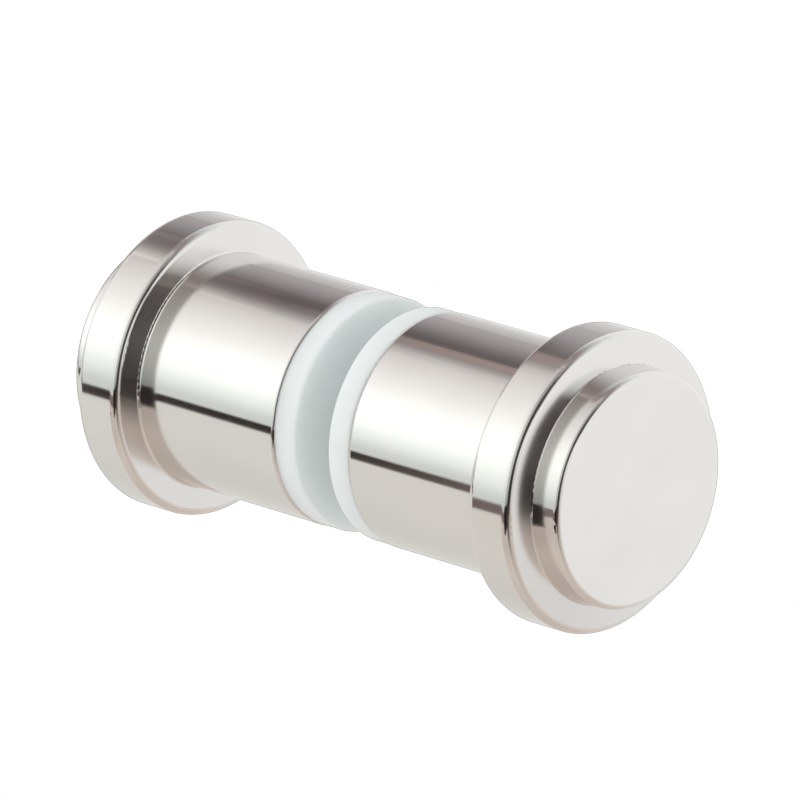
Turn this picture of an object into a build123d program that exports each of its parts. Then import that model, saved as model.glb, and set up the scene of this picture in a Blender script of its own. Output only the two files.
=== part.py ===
"""Back-to-back shower door knob, clamped through a hole in a glass door.

Sizes are in millimetres. The origin is the centre of the hole, on the middle
plane of the glass. X runs along the knobs' axis, out of the shower, and Z is up.
"""

from build123d import *

import math
import os

# Glass door, held in the open slot between the two washers
glass_thickness = 6.0

# Knob: a gripping neck, a wide collar and a button on the end
neck_diameter = 32.0
neck_length = 24.75
collar_diameter = 40.4
collar_thickness = 7.1
button_root_diameter = 32.1
button_height = 4.8
neck_edge_round = 0.5
collar_edge_round = 1.1
button_edge_round = 0.8
neck_root_fillet = 0.4
button_root_fillet = 0.2

# Draft angles. The collar thins towards its rim, and the button's side draws in outwards.
collar_back_slope = 3.8
collar_front_slope = 7.5
button_side_draft = 3.2

# M8 stud that pulls the knobs together, with a hexagon socket in its outer end
stud_diameter = 8.0
stud_engagement = 10.8
stud_end_chamfer = 0.8
socket_across_flats = 4.0
socket_depth = 5.0

# Tapped blind hole in each knob
thread_clearance = 0.05
thread_runout = 2.5
drill_point_angle = 118.0
mouth_chamfer = 0.5

# Plastic bush that keeps the stud off the edge of the glass
bush_wall = 1.75
bush_to_stud_clearance = 0.15
bush_to_hole_clearance = 0.1
bush_end_clearance = 0.2
bush_edge_chamfer = 0.3

# Frosted plastic washers, a little smaller than the necks that press on them
washer_thickness = 3.7
washer_inset = 0.1
washer_edge_round = 0.4

# Stations along X, counted from the middle of the glass
glass_face = glass_thickness / 2
neck_start = glass_face + washer_thickness
collar_start = neck_start + neck_length
back_width = (collar_diameter - neck_diameter) / 2
back_rim_start = collar_start + back_width * math.tan(math.radians(collar_back_slope))
front_rim_end = back_rim_start + collar_thickness
front_width = (collar_diameter - button_root_diameter) / 2
button_start = front_rim_end + front_width * math.tan(math.radians(collar_front_slope))
button_end = front_rim_end + button_height
button_draw_in = (button_end - button_start) * math.tan(math.radians(button_side_draft))
button_face_diameter = button_root_diameter - 2 * button_draw_in
stud_end = neck_start + stud_engagement
hole_end = stud_end + thread_runout

# Sizes that follow from the stud outwards
tapped_hole_diameter = stud_diameter + 2 * thread_clearance
bush_bore = stud_diameter + 2 * bush_to_stud_clearance
bush_diameter = bush_bore + 2 * bush_wall
glass_hole_diameter = bush_diameter + 2 * bush_to_hole_clearance
washer_diameter = neck_diameter - 2 * washer_inset
bush_length = 2 * (neck_start - bush_end_clearance)


# Outer knob, one turned piece
neck_rim = (neck_start, neck_diameter / 2)
neck_root = (collar_start, neck_diameter / 2)
back_rim = (back_rim_start, collar_diameter / 2)
front_rim = (front_rim_end, collar_diameter / 2)
button_root = (button_start, button_root_diameter / 2)
button_rim = (button_end, button_face_diameter / 2)

# The outer edges are broken and the inner corners keep the tool's nose radius
corner_rounds = {
    neck_rim: neck_edge_round,
    neck_root: neck_root_fillet,
    back_rim: collar_edge_round,
    front_rim: collar_edge_round,
    button_root: button_root_fillet,
    button_rim: button_edge_round,
}

with BuildPart() as outer_knob:
    with BuildSketch(Plane.XZ) as knob_profile:
        with BuildLine():
            Polyline((neck_start, 0), *corner_rounds, (button_end, 0), close=True)
        make_face()
        for corner, radius in corner_rounds.items():
            fillet(knob_profile.vertices().sort_by_distance(corner)[0], radius)
    revolve(axis=Axis.X)

    # Blind hole from the glass side, with a chamfered mouth and the drill's point
    with Locations(Plane(origin=(neck_start, 0, 0), z_dir=(-1, 0, 0))):
        CounterSinkHole(
            radius=tapped_hole_diameter / 2,
            counter_sink_radius=tapped_hole_diameter / 2 + mouth_chamfer,
            depth=hole_end - neck_start,
            counter_sink_angle=90,
        )
    with Locations(Plane(origin=(hole_end, 0, 0), z_dir=(1, 0, 0))):
        Cone(
            bottom_radius=tapped_hole_diameter / 2,
            top_radius=0,
            height=tapped_hole_diameter / 2 / math.tan(math.radians(drill_point_angle / 2)),
            align=(Align.CENTER, Align.CENTER, Align.MIN),
            mode=Mode.SUBTRACT,
        )

# Inner knob, the same turned piece on the other side of the glass
with BuildPart() as inner_knob:
    mirror(outer_knob.part, about=Plane.YZ)

# Washer between the outer knob and the glass
with BuildPart() as outer_washer:
    with BuildSketch(Plane.YZ.offset(glass_face)):
        Circle(washer_diameter / 2)
        Circle(glass_hole_diameter / 2, mode=Mode.SUBTRACT)
    extrude(amount=washer_thickness)
    washer_rims = outer_washer.edges().filter_by(GeomType.CIRCLE).group_by(SortBy.RADIUS)[-1]
    fillet(washer_rims, washer_edge_round)

# Washer between the glass and the inner knob
with BuildPart() as inner_washer:
    mirror(outer_washer.part, about=Plane.YZ)

# Bush through the glass and both washers
with BuildPart() as glass_bush:
    with BuildSketch(Plane.YZ.offset(-bush_length / 2)):
        Circle(bush_diameter / 2)
        Circle(bush_bore / 2, mode=Mode.SUBTRACT)
    extrude(amount=bush_length)
    bush_rims = glass_bush.edges().filter_by(GeomType.CIRCLE).group_by(SortBy.RADIUS)[-1]
    chamfer(bush_rims, bush_edge_chamfer)

# Stud, screwed into both knobs
with BuildPart() as threaded_stud:
    with BuildSketch(Plane.YZ.offset(-stud_end)):
        Circle(stud_diameter / 2)
    extrude(amount=2 * stud_end)
    chamfer(threaded_stud.edges().filter_by(GeomType.CIRCLE), stud_end_chamfer)
    with BuildSketch(Plane.YZ.offset(stud_end)):
        RegularPolygon(socket_across_flats / 2, 6, major_radius=False)
    extrude(amount=-socket_depth, mode=Mode.SUBTRACT)


pieces = {
    "outer_knob": outer_knob,
    "inner_knob": inner_knob,
    "outer_washer": outer_washer,
    "inner_washer": inner_washer,
    "glass_bush": glass_bush,
    "threaded_stud": threaded_stud,
}

os.makedirs("parts", exist_ok=True)
for name, piece in pieces.items():
    piece.part.label = name
    export_step(piece.part, f"parts/{name}.step")
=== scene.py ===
"""Looks of a through-glass shower door handle: two turned metal knobs and their frosted washers."""
import math

import bpy
from mathutils import Matrix, Vector

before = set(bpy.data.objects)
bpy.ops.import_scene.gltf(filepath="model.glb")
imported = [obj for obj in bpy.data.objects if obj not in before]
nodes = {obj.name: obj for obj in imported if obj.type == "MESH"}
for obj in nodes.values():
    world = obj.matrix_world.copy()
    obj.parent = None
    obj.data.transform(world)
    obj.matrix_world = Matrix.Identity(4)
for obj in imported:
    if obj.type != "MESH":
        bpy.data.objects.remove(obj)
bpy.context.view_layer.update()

# Camera, at the photograph's angle and distance, in metres and degrees, with lens and sensor in mm
CAMERA_AZIMUTH = 43.085
CAMERA_ELEVATION = 18.222
CAMERA_DISTANCE = 1.5532
CAMERA_LENS = 529.06
CAMERA_SENSOR = 36.0
AIM_RIGHT = 0.00083
AIM_UP = 0.00260

# Ambient strength, floor and lamp, in metres and watts
AMBIENT = 0.82
FLOOR_HEIGHT = -0.45
FLOOR_REACH = 30.0
LAMP_PLACE = (-0.35, -0.75, 0.70)
LAMP_SIZE = 0.6
LAMP_WATTS = 2.4

# Radii of the long cards round the handle's axis, which are seen only in the metal
TENT_RADIUS = 0.40
BACKING_RADIUS = 1.01 * TENT_RADIUS
GAP_RADIUS = 0.995 * TENT_RADIUS
FRAME_RADIUS = 0.98 * TENT_RADIUS

# Where the cards meet: places along X, and angles in degrees, from straight ahead (-Y) up over the top
CARD_END = 1.4
LEFT_END = -0.27
SOFTBOX_END = 0.34
FLOOR_BACK = -156.0
TABLE_BACK = -134.0
TABLE_FRONT = -14.9
SOFTBOX_TOP = 92.0
BEAM_BACK = 112.0
CEILING_BACK = 122.0
WALL_FOOT = 204.0
WALL_TURN = 226.0
CARD_STEP = 0.75

# Grain and clouds in the materials, in cells a metre, with depths and the M8 stud's thread in metres
CLOUD_RANGE = {"From Min": 0.3, "From Max": 0.7}
MARK_SCALE = 5200.0
METAL_CLOUD_SCALE = 95.0
GRAIN_SCALE = 2600.0
PLASTIC_CLOUD_SCALE = 120.0
STEEL_CLOUD_SCALE = 300.0
MARK_DEPTH = 0.0000002
GRAIN_DEPTH = 0.000012
THREAD_PITCH = 0.00125
THREAD_DEPTH = 0.0006


# Node helpers
def new_material(name):
    """An empty node material and its tree."""
    material = bpy.data.materials.new(name)
    material.use_nodes = True
    material.node_tree.nodes.clear()
    return material, material.node_tree


def node(tree, kind, inputs=None, **settings):
    """A shader node, with plain settings and input values or links by socket name or number."""
    made = tree.nodes.new(kind)
    for key, value in settings.items():
        setattr(made, key, value)
    for key, value in (inputs or {}).items():
        socket = made.inputs[key]
        if isinstance(value, bpy.types.NodeSocket):
            tree.links.new(value, socket)
        else:
            socket.default_value = value
    return made


def maths(tree, operation, *values):
    """The result of one Math node."""
    return node(tree, "ShaderNodeMath", dict(enumerate(values)), operation=operation).outputs[0]


def noise(tree, place, scale, **inputs):
    """The grey output of a noise texture."""
    return node(tree, "ShaderNodeTexNoise", {"Vector": place, "Scale": scale, **inputs}).outputs["Fac"]


def spread(tree, value, low, high, **limits):
    """A value between its limits, 0 and 1 unless given, brought between low and high."""
    inputs = {"Value": value, "To Min": low, "To Max": high, **limits}
    return node(tree, "ShaderNodeMapRange", inputs).outputs[0]


def bumped(tree, height, depth):
    """Normals raised by a height pattern, to a depth in metres."""
    return node(tree, "ShaderNodeBump", {"Height": height, "Strength": 1.0, "Distance": depth}).outputs[0]


def clouded(tree, cloud, colour):
    """A colour that a cloud of noise darkens a little."""
    made = node(tree, "ShaderNodeValToRGB", {0: cloud})
    band = made.color_ramp
    band.interpolation = "EASE"
    for element, place, share in zip(band.elements, CLOUD_RANGE.values(), (0.97, 1.0)):
        element.position = place
        element.color = (*(share * c for c in colour), 1.0)
    return made.outputs["Color"]


# Materials
def lathe_coordinates(tree):
    """(x, distance from the axis, position) of the shaded point, in metres."""
    place = node(tree, "ShaderNodeTexCoord").outputs["Object"]
    split = node(tree, "ShaderNodeSeparateXYZ", {0: place})
    flat = node(tree, "ShaderNodeCombineXYZ", {1: split.outputs[1], 2: split.outputs[2]}).outputs[0]
    out = node(tree, "ShaderNodeVectorMath", {0: flat}, operation="LENGTH").outputs["Value"]
    return split.outputs[0], out, place


def turned_metal(name, colour, roughness, face_roughness, anisotropy):
    """Satin metal off a lathe: fine marks round the axis stretch its reflections along the axis."""
    material, tree = new_material(name)
    along, out, place = lathe_coordinates(tree)
    marks_at = node(tree, "ShaderNodeCombineXYZ", {0: along, 1: out}).outputs[0]
    marks = noise(tree, marks_at, MARK_SCALE, Detail=3.0, Roughness=0.65)
    cloud = noise(tree, place, METAL_CLOUD_SCALE, Detail=4.0, Roughness=0.6)
    normal = node(tree, "ShaderNodeNewGeometry").outputs["Normal"]
    facing = maths(tree, "ABSOLUTE", node(tree, "ShaderNodeSeparateXYZ", {0: normal}).outputs[0])
    dull = spread(tree, facing, roughness, face_roughness, **{"From Min": 0.6, "From Max": 1.0})
    uneven = spread(tree, cloud, 0.9, 1.1, **CLOUD_RANGE)
    tangent = node(tree, "ShaderNodeTangent", direction_type="RADIAL", axis="X").outputs[0]
    shader = node(tree, "ShaderNodeBsdfPrincipled",
                  {"Base Color": clouded(tree, cloud, colour), "Metallic": 1.0,
                   "Roughness": maths(tree, "MULTIPLY", dull, uneven),
                   "Normal": bumped(tree, marks, MARK_DEPTH), "Tangent": tangent,
                   "Anisotropic": anisotropy, "Anisotropic Rotation": 0.25})
    node(tree, "ShaderNodeOutputMaterial", {0: shader.outputs[0]})
    return material


def frosted_plastic(name, colour, roughness, glow):
    """Soft translucent plastic with a fine moulded grain."""
    material, tree = new_material(name)
    place = node(tree, "ShaderNodeTexCoord").outputs["Object"]
    grain = noise(tree, place, GRAIN_SCALE, Detail=2.0, Roughness=0.5)
    cloud = noise(tree, place, PLASTIC_CLOUD_SCALE, Detail=3.0, Roughness=0.55)
    shader = node(tree, "ShaderNodeBsdfPrincipled",
                  {"Base Color": clouded(tree, cloud, colour),
                   "Roughness": spread(tree, cloud, roughness * 0.9, roughness * 1.1, **CLOUD_RANGE),
                   "Normal": bumped(tree, grain, GRAIN_DEPTH), "IOR": 1.43, "Specular IOR Level": 0.35,
                   "Subsurface Weight": glow, "Subsurface Radius": (1.0, 1.0, 0.95),
                   "Subsurface Scale": 0.004})
    node(tree, "ShaderNodeOutputMaterial", {0: shader.outputs[0]})
    return material


def threaded_steel(name, colour, roughness):
    """Bright steel with a helical thread in its normals."""
    material, tree = new_material(name)
    place = node(tree, "ShaderNodeTexCoord").outputs["Object"]
    split = node(tree, "ShaderNodeSeparateXYZ", {0: place})
    turn = maths(tree, "DIVIDE", maths(tree, "ARCTAN2", split.outputs[2], split.outputs[1]), 2.0 * math.pi)
    pitches = maths(tree, "DIVIDE", split.outputs[0], THREAD_PITCH)
    wave = maths(tree, "PINGPONG", maths(tree, "ADD", pitches, turn), 0.5)
    cloud = noise(tree, place, STEEL_CLOUD_SCALE, Detail=3.0)
    shader = node(tree, "ShaderNodeBsdfPrincipled",
                  {"Base Color": (*colour, 1.0), "Metallic": 1.0,
                   "Roughness": spread(tree, cloud, roughness * 0.8, roughness * 1.2),
                   "Normal": bumped(tree, wave, THREAD_DEPTH)})
    node(tree, "ShaderNodeOutputMaterial", {0: shader.outputs[0]})
    return material


def dress(name, material):
    """Gives a CAD node its finished material."""
    piece = nodes[name]
    for place in piece.material_slots:
        place.material = material


satin = turned_metal("turned_satin_metal", (0.80, 0.78, 0.76), 0.10, 0.13, 0.85)
frosted = frosted_plastic("frosted_washer_plastic", (0.83, 0.88, 0.87), 0.45, 0.6)
white_bush = frosted_plastic("white_bush_plastic", (0.84, 0.85, 0.84), 0.40, 0.3)
steel = threaded_steel("threaded_stud_steel", (0.66, 0.65, 0.63), 0.30)
for knob in ("outer_knob", "inner_knob"):
    dress(knob, satin)
for washer in ("outer_washer", "inner_washer"):
    dress(washer, frosted)
dress("glass_bush", white_bush)
dress("threaded_stud", steel)


# Stage
def emissive_card_material():
    """Light whose colour is stored on the card's own vertices."""
    material, tree = new_material("card_light")
    glow = node(tree, "ShaderNodeAttribute", attribute_name="glow").outputs["Color"]
    light = node(tree, "ShaderNodeEmission", {0: glow, 1: 1.0})
    node(tree, "ShaderNodeOutputMaterial", {0: light.outputs[0]})
    return material


def level_at(stops, at):
    """The level at a place between (place, level) stops, in straight lines."""
    if at <= stops[0][0]:
        return stops[0][1]
    for (a, low), (b, high) in zip(stops, stops[1:]):
        if at <= b:
            return low + (high - low) * (at - a) / (b - a)
    return stops[-1][1]


CARD_LIGHT = emissive_card_material()


def card(name, start, end, x_from, x_to, levels, tint, end_tint=None, radius=TENT_RADIUS,
         across=((0.0, 1.0),)):
    """A long curved card about the handle's axis, lit from within and seen only in reflections.

    start and end are its angles in degrees, and its tint changes evenly between them.
    levels are (angle, brightness) stops, and across are (x, factor) stops along it.
    """
    turns = max(2, int((end - start) / CARD_STEP))
    lengths = sorted({x_from, x_to, *(x for x, _ in across if x_from < x < x_to)})
    points, glow, faces = [], [], []
    for i in range(turns + 1):
        angle = start + (end - start) * i / turns
        psi = math.radians(angle)
        for x in lengths:
            points.append((x, -radius * math.cos(psi), radius * math.sin(psi)))
            level = level_at(levels, angle) * level_at(across, x)
            glow.extend((*(level * (c + (d - c) * i / turns) for c, d in zip(tint, end_tint or tint)), 1.0))
    wide = len(lengths)
    for i in range(turns):
        for j in range(wide - 1):
            k = i * wide + j
            faces.append((k, k + 1, k + wide + 1, k + wide))
    mesh = bpy.data.meshes.new(name)
    mesh.from_pydata(points, [], faces)
    mesh.attributes.new("glow", "FLOAT_COLOR", "POINT").data.foreach_set("color", glow)
    mesh.materials.append(CARD_LIGHT)
    made = bpy.data.objects.new(name, mesh)
    bpy.context.scene.collection.objects.link(made)
    made.visible_camera = False
    made.visible_diffuse = False
    made.visible_transmission = False
    made.visible_shadow = False


NEUTRAL = (1.0, 1.0, 1.0)
WARM = (1.03, 0.99, 0.97)
BEIGE = (1.02, 1.01, 0.96)
MINT = (0.97, 1.035, 1.01)
PLUM = (1.12, 0.93, 0.95)
LILAC = (1.06, 0.96, 0.99)
COOL = (0.98, 1.01, 1.01)
BROWN = (1.2, 0.9, 0.87)
ROSE = (1.10, 0.96, 0.95)
TAN = (1.2, 0.92, 0.84)
UMBER = (1.11, 0.985, 0.905)

# Behind all the others, so that no white shows between them
card("backing", FLOOR_BACK, WALL_FOOT, -CARD_END, CARD_END, [(0.0, 0.40)], NEUTRAL, radius=BACKING_RADIUS)

# Below: a pale table, browner to the right, with a dark gap along its front edge
card("left_table", FLOOR_BACK, TABLE_FRONT, -CARD_END, LEFT_END,
     [(FLOOR_BACK, 1.0), (-149.0, 0.80), (-128.0, 0.74), (-96.0, 0.73), (-48.0, 0.80)], BEIGE)
card("right_table", TABLE_BACK, TABLE_FRONT, LEFT_END, SOFTBOX_END,
     [(TABLE_BACK, 0.76), (-120.0, 0.64), (-100.0, 0.60), (-84.0, 0.61), (-56.0, 0.66), (-40.0, 0.58),
      (TABLE_FRONT, 0.60)], UMBER)
card("table_corner", TABLE_BACK, TABLE_FRONT, SOFTBOX_END, CARD_END,
     [(TABLE_BACK, 0.76), (-100.0, 0.60), (-64.0, 0.50), (-50.0, 0.32), (-40.0, 0.12), (-28.0, 0.05)], UMBER)
card("left_gap", -22.6, TABLE_FRONT, -CARD_END, -0.295, [(0.0, 0.006)], BROWN, radius=GAP_RADIUS,
     across=((-0.40, 12.0), (-0.37, 4.0), (-0.355, 1.0), (-0.31, 1.0), (-0.298, 6.0)))
card("middle_gap", -21.0, -13.0, -0.295, 0.05, [(0.0, 0.20)], BROWN, radius=GAP_RADIUS)
card("right_gap", -29.0, -10.0, 0.05, SOFTBOX_END, [(0.0, 0.02)], BROWN, radius=GAP_RADIUS)

# In front: the softbox, and the dark room to its right
card("softbox", TABLE_FRONT, SOFTBOX_TOP, -CARD_END, SOFTBOX_END,
     [(TABLE_FRONT, 0.80), (-10.0, 0.76), (-6.0, 0.84), (0.0, 1.02), (12.0, 1.26), (26.0, 1.40),
      (36.0, 1.36), (54.0, 1.13), (84.0, 0.80), (SOFTBOX_TOP, 0.64)],
     MINT, end_tint=WARM, across=((-0.27, 1.0), (-0.18, 0.90), (0.07, 0.86), (0.12, 0.50)))
card("front_room", TABLE_FRONT, SOFTBOX_TOP, SOFTBOX_END, CARD_END,
     [(TABLE_FRONT, 0.03), (0.0, 0.04), (24.0, 0.06), (60.0, 0.05), (SOFTBOX_TOP, 0.09)],
     ROSE, across=((SOFTBOX_END, 0.8), (0.75, 1.1), (1.0, 2.0), (CARD_END, 3.5)))

# Above and behind: a dark ceiling to the left, a narrow dark beam and a pale wall to the right
card("left_ceiling", SOFTBOX_TOP, CEILING_BACK, -CARD_END, LEFT_END,
     [(SOFTBOX_TOP, 0.62), (95.5, 0.46), (99.0, 0.36), (103.0, 0.23), (109.0, 0.14), (114.0, 0.13),
      (CEILING_BACK, 0.19)],
     WARM, end_tint=PLUM,
     across=((-0.60, 2.6), (-0.40, 1.9), (-0.376, 1.5), (-0.362, 0.75), (-0.345, 0.75), (-0.335, 1.0)))
card("left_wall", CEILING_BACK, WALL_FOOT, -CARD_END, LEFT_END,
     [(CEILING_BACK, 0.19), (138.0, 0.36), (150.0, 0.44), (162.0, 0.60), (180.0, 0.75), (192.0, 0.92),
      (WALL_FOOT, 1.04)],
     LILAC, end_tint=COOL)
card("right_beam", SOFTBOX_TOP, BEAM_BACK, LEFT_END, CARD_END,
     [(SOFTBOX_TOP, 0.60), (96.0, 0.36), (104.0, 0.28), (BEAM_BACK, 0.42)],
     ROSE, across=((SOFTBOX_END, 1.0), (0.45, 0.3)))
card("right_wall", BEAM_BACK, WALL_TURN, LEFT_END, CARD_END,
     [(BEAM_BACK, 0.42), (118.0, 0.60), (128.0, 0.85), (140.0, 1.00), (176.0, 1.02), (204.0, 1.01),
      (WALL_TURN, 0.76)],
     COOL, end_tint=NEUTRAL)
card("softbox_frame", 89.0, SOFTBOX_TOP, -0.337, -0.316, [(0.0, 0.50)], NEUTRAL, radius=FRAME_RADIUS)
card("ceiling_batten", 101.0, 108.6, -0.326, LEFT_END, [(101.0, 0.36), (108.6, 0.34)], TAN,
     radius=FRAME_RADIUS)


def make_world():
    """White where the camera, the metal and clear plastic look, and a plain soft ambient elsewhere."""
    world = bpy.data.worlds.new("studio")
    bpy.context.scene.world = world
    world.use_nodes = True
    tree = world.node_tree
    tree.nodes.clear()
    path = node(tree, "ShaderNodeLightPath")
    mirrored = maths(tree, "MAXIMUM", path.outputs["Is Glossy Ray"], path.outputs["Is Transmission Ray"])
    seen = maths(tree, "MAXIMUM", path.outputs["Is Camera Ray"], mirrored)
    strength = node(tree, "ShaderNodeMix", {0: seen, 2: AMBIENT, 3: 1.0}, data_type="FLOAT").outputs[0]
    light = node(tree, "ShaderNodeBackground", {0: (1.0, 1.0, 1.0, 1.0), 1: strength})
    node(tree, "ShaderNodeOutputWorld", {0: light.outputs[0]})


def make_floor():
    """A pale floor well below the handle, white to the camera except where the handle shades it."""
    mesh = bpy.data.meshes.new("floor")
    corners = [(-1, -1), (1, -1), (1, 1), (-1, 1)]
    points = [(FLOOR_REACH * x, FLOOR_REACH * y, FLOOR_HEIGHT) for x, y in corners]
    mesh.from_pydata(points, [], [(0, 1, 2, 3)])
    material, tree = new_material("pale_floor")
    shader = node(tree, "ShaderNodeBsdfDiffuse", {"Color": (0.92, 0.91, 0.89, 1.0)})
    node(tree, "ShaderNodeOutputMaterial", {0: shader.outputs[0]})
    mesh.materials.append(material)
    floor = bpy.data.objects.new("floor", mesh)
    bpy.context.scene.collection.objects.link(floor)
    floor.is_shadow_catcher = True


def soft_lamp(name, place, size, watts):
    """A large square lamp aimed at the handle, unseen in the metal."""
    data = bpy.data.lights.new(name, "AREA")
    data.shape = "SQUARE"
    data.size = size
    data.energy = watts
    lamp = bpy.data.objects.new(name, data)
    bpy.context.scene.collection.objects.link(lamp)
    lamp.location = place
    lamp.rotation_euler = (-Vector(place)).to_track_quat("-Z", "Y").to_euler()
    lamp.visible_glossy = False
    lamp.visible_camera = False


def make_camera():
    """The photograph's view: a long lens, level, aimed close to the handle's middle."""
    a, e = math.radians(CAMERA_AZIMUTH), math.radians(CAMERA_ELEVATION)
    back = Vector((math.sin(a) * math.cos(e), -math.cos(a) * math.cos(e), math.sin(e)))
    right = Vector((math.cos(a), math.sin(a), 0.0))
    up = back.cross(right)
    data = bpy.data.cameras.new("camera")
    data.lens = CAMERA_LENS
    data.sensor_width = CAMERA_SENSOR
    data.clip_start, data.clip_end = 0.05, 100.0
    camera = bpy.data.objects.new("camera", data)
    bpy.context.scene.collection.objects.link(camera)
    turn = Matrix((right, up, back)).transposed().to_4x4()
    place = right * AIM_RIGHT + up * AIM_UP + back * CAMERA_DISTANCE
    camera.matrix_world = Matrix.Translation(place) @ turn
    bpy.context.scene.camera = camera


make_world()
make_floor()
soft_lamp("key_lamp", LAMP_PLACE, LAMP_SIZE, LAMP_WATTS)
make_camera()
bpy.context.scene.view_settings.view_transform = "Standard"
